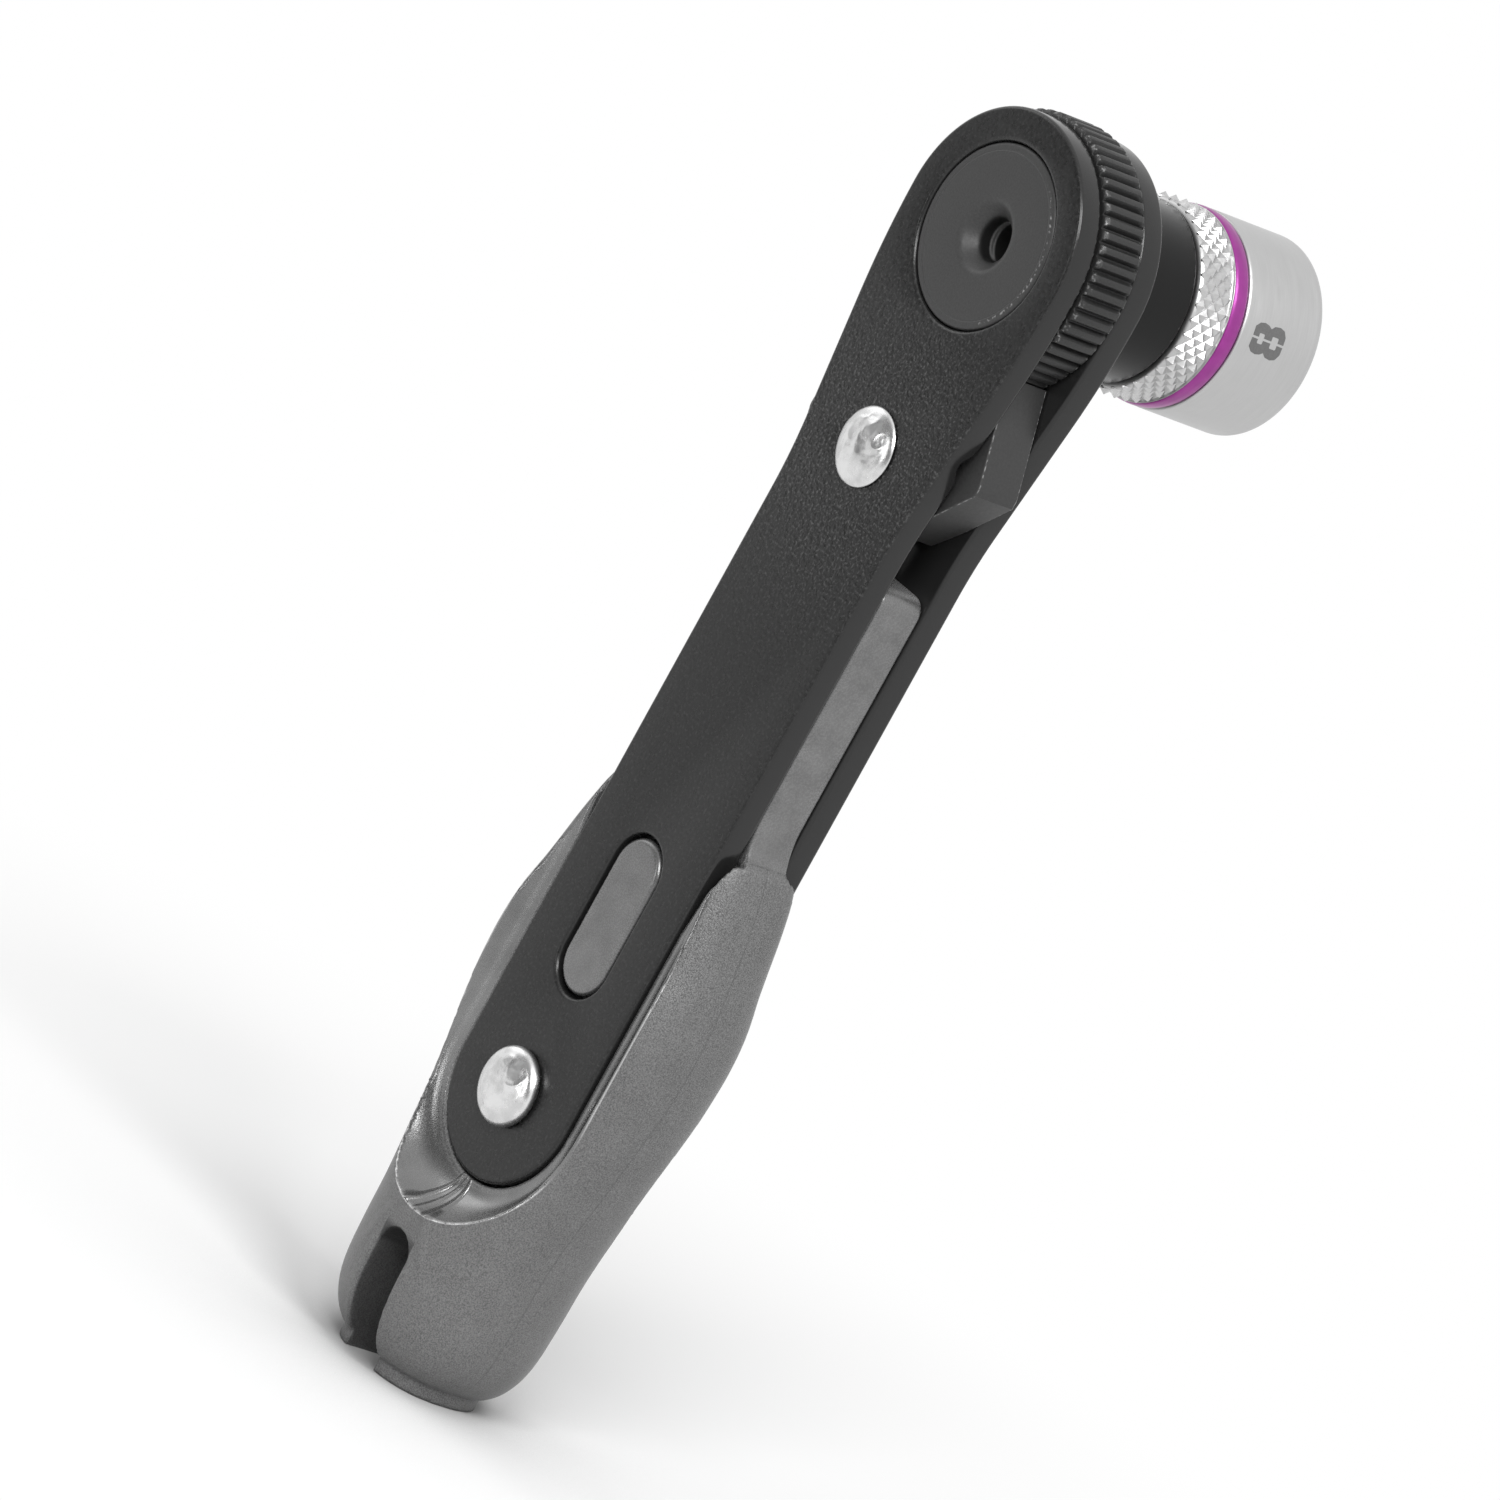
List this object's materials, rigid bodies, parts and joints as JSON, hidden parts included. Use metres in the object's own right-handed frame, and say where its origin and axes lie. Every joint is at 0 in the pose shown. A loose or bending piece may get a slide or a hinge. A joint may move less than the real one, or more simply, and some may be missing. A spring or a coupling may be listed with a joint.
{
  "type": "ratcheting screwdriver",
  "caption": "Compact flat-handled ratcheting screwdriver with a thumb wheel, a direction lever and a hex socket on its rear drive.",
  "frame": {"origin": "on the drive axis, midway between the two side plates, inside the push-out hole", "axes": "+Y along the drive axis towards the socket's mouth, +Z along the tool from the handle's end towards the head, +X to the right seen from the thumb side"},
  "size_m": [0.019, 0.0259, 0.0888],
  "materials": {
    "plate_paint": "satin, fine wrinkle texture",
    "handle_grey": "satin metallic grey",
    "rivet_zinc": "bright zinc",
    "gear_dark": "dark oxide, satin",
    "lever_dark": "dark oxide, satin",
    "spring_steel": "bright",
    "socket_steel": "satin chrome",
    "ring_purple": "gloss"
  },
  "bodies": {
    "frame": {"front_plate": "plate_paint", "back_plate": "plate_paint", "handle_body": "handle_grey", "pawl_rivet": "rivet_zinc", "handle_rivet": "rivet_zinc", "detent_spring": "spring_steel"},
    "gear": {"drive_gear": "gear_dark", "bit_retaining_ring": "spring_steel"},
    "lever": {"direction_lever": "lever_dark"},
    "plunger": {"detent_plunger": "spring_steel"},
    "socket": {"socket_body": "socket_steel", "socket_colour_ring": "ring_purple"}
  },
  "joints": [
    {"name": "gear_spin", "type": "hinge", "parent": "frame", "child": "gear", "pos_m": [0, 0, 0], "axis": [0, 1, 0], "continuous": true},
    {"name": "lever_rock", "type": "hinge", "parent": "frame", "child": "lever", "pos_m": [0, 0, -0.01492], "axis": [0, 1, 0], "range_deg": [0, 18]},
    {"name": "plunger_press", "type": "slide", "parent": "frame", "child": "plunger", "axis": [0, 0, -1], "range_m": [0, 0.0005], "stiffness_N_per_m": 400, "deforming": ["detent_spring"]},
    {"name": "socket_pull", "type": "slide", "parent": "gear", "child": "socket", "axis": [0, 1, 0], "range_m": [0, 0.0085]}
  ]
}
